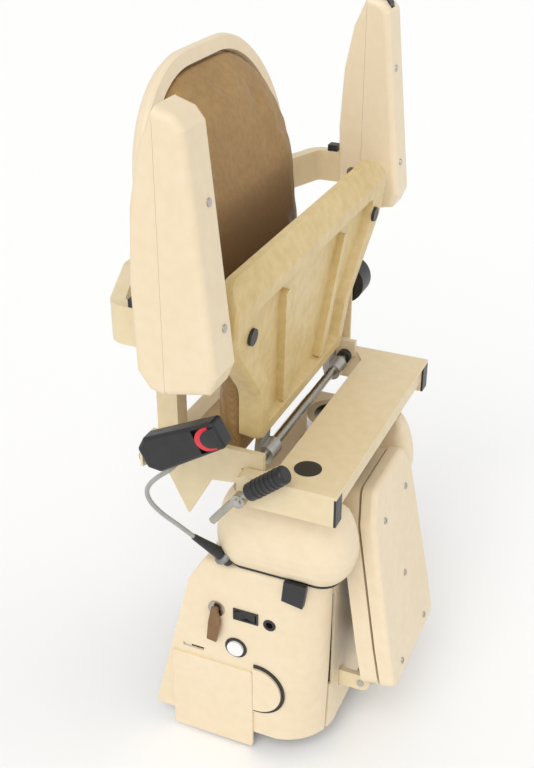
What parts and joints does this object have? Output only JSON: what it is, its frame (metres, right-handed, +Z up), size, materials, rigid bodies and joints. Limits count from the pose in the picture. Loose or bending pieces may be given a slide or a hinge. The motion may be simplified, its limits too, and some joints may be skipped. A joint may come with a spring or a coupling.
{
  "type": "stairlift chair",
  "caption": "Stairlift seat unit with a powered carriage: swivelling chair with folding seat, lifting arms, belt buckle and a folding footrest.",
  "frame": {"origin": "centre of the four rail bolt holes on the chassis plate's rear face", "axes": "+X to the sitter's left, +Y towards the stair wall and rail (the chair faces -Y), +Z up; folded for parking"},
  "size_m": [0.652, 0.3378, 0.966],
  "materials": {
    "beige_plastic": "fine satin moulding",
    "beige_paint": "satin powder coat",
    "black_paint": "matt paint",
    "zinc_steel": "zinc plated",
    "bright_steel": "polished bar",
    "cast_grey": "die cast",
    "black_plastic": "fine grain",
    "brown_rubber": "matt",
    "green_board": "board lacquer",
    "brown_plastic": "moulded key head",
    "white_plastic": "gloss",
    "red_plastic": "gloss",
    "seat_vinyl": "padded vinyl",
    "grey_cable": "cable jacket"
  },
  "bodies": {
    "carriage": {"chassis_plate": "black_paint", "chassis_frame": "black_paint", "swivel_post": "zinc_steel", "drive_unit": "cast_grey", "batteries": "black_plastic", "control_board": "green_board", "cover_guides": "zinc_steel", "centre_cover": "beige_plastic", "seam_strips": "brown_rubber", "swivel_hood": "beige_plastic", "hood_ring": "black_plastic", "footrest_lugs": "beige_paint", "footrest_pin": "zinc_steel", "cable_boot": "black_plastic"},
    "pinion": {"drive_pinion": "zinc_steel"},
    "right_cover": {"end_cover_right": "beige_plastic", "access_panel": "beige_plastic", "hand_wind_cap": "beige_plastic", "key_switch": "bright_steel", "control_bezels": "black_plastic", "contact_block": "black_plastic"},
    "left_cover": {"end_cover_left": "beige_plastic"},
    "key": {"key": "brown_plastic"},
    "rocker": {"isolator_rocker": "black_plastic"},
    "button": {"push_button": "white_plastic"},
    "footrest": {"footrest_plate": "beige_plastic", "footrest_tread": "brown_rubber", "footrest_knuckles": "zinc_steel"},
    "safety_pan": {"footrest_pan": "beige_plastic", "pan_guides": "zinc_steel"},
    "chair": {"base_plate": "beige_paint", "base_frame": "beige_paint", "black_caps": "black_plastic", "swivel_hub": "zinc_steel", "hinge_rod": "bright_steel", "side_plates": "beige_paint", "back_posts": "beige_paint", "arm_frame": "beige_paint", "backrest_shell": "beige_plastic", "backrest_pad": "seat_vinyl", "buckle": "black_plastic", "belt_brackets": "beige_paint", "belt_reel": "black_plastic", "lever_pin": "zinc_steel", "control_cable": "grey_cable"},
    "seat": {"seat_pan": "beige_plastic", "seat_eyes": "zinc_steel", "seat_buffers": "black_plastic", "seat_cushion": "seat_vinyl"},
    "arm_right": {"arm_tray_right": "beige_plastic", "arm_pad_right": "beige_plastic", "arm_fixings_right": "zinc_steel"},
    "arm_left": {"arm_tray_left": "beige_plastic", "arm_pad_left": "beige_plastic", "arm_fixings_left": "zinc_steel"},
    "toggle": {"control_toggle": "black_plastic"},
    "lever": {"swivel_lever": "bright_steel", "lever_grip": "black_plastic"},
    "buckle_press": {"buckle_button": "red_plastic"}
  },
  "joints": [
    {"name": "drive_pinion_turn", "type": "hinge", "parent": "carriage", "child": "pinion", "pos_m": [0, 0, 0], "axis": [0, 1, 0], "continuous": true},
    {"name": "right_cover_press", "type": "slide", "parent": "carriage", "child": "right_cover", "axis": [1, 0, 0], "range_m": [0, 0.004], "stiffness_N_per_m": 4000},
    {"name": "left_cover_press", "type": "slide", "parent": "carriage", "child": "left_cover", "axis": [-1, 0, 0], "range_m": [0, 0.004], "stiffness_N_per_m": 4000},
    {"name": "key_turn", "type": "hinge", "parent": "right_cover", "child": "key", "pos_m": [-0.15, -0.056, 0.106], "axis": [1, 0, 0], "range_deg": [0, 60]},
    {"name": "rocker_rock", "type": "hinge", "parent": "right_cover", "child": "rocker", "pos_m": [-0.146, -0.099, 0.106], "axis": [0, 0, 1], "range_deg": [0, 12]},
    {"name": "button_press", "type": "slide", "parent": "right_cover", "child": "button", "axis": [1, 0, 0], "range_m": [0, 0.002], "stiffness_N_per_m": 300},
    {"name": "footrest_fold", "type": "hinge", "parent": "carriage", "child": "footrest", "pos_m": [0, -0.236, -0.034], "axis": [1, 0, 0], "range_deg": [0, 100]},
    {"name": "pan_press", "type": "slide", "parent": "footrest", "child": "safety_pan", "axis": [0, 0.9848, -0.1736], "range_m": [0, 0.003], "stiffness_N_per_m": 3000},
    {"name": "swivel_turn", "type": "hinge", "parent": "carriage", "child": "chair", "pos_m": [0, -0.163, 0.2], "axis": [0, 0, 1], "range_deg": [-70, 70], "deforming": ["control_cable"]},
    {"name": "seat_fold", "type": "hinge", "parent": "chair", "child": "seat", "pos_m": [0, -0.118, 0.353], "axis": [1, 0, 0], "range_deg": [0, 84]},
    {"name": "right_arm_lift", "type": "hinge", "parent": "chair", "child": "arm_right", "pos_m": [-0.29, -0.08, 0.587], "axis": [1, 0, 0], "range_deg": [0, 90]},
    {"name": "left_arm_lift", "type": "hinge", "parent": "chair", "child": "arm_left", "pos_m": [0.29, -0.08, 0.587], "axis": [1, 0, 0], "range_deg": [0, 90]},
    {"name": "toggle_rock", "type": "hinge", "parent": "arm_left", "child": "toggle", "pos_m": [0.299, -0.111, 0.814], "axis": [1, 0, 0], "range_deg": [-14, 14], "stiffness_Nm_per_rad": 0.4},
    {"name": "lever_pull", "type": "hinge", "parent": "chair", "child": "lever", "pos_m": [-0.202, -0.116, 0.331], "axis": [1, 0, 0], "range_deg": [-20, 0], "stiffness_Nm_per_rad": 2.5},
    {"name": "buckle_release", "type": "slide", "parent": "chair", "child": "buckle_press", "axis": [1, 0, 0], "range_m": [0, 0.0015], "stiffness_N_per_m": 400}
  ]
}
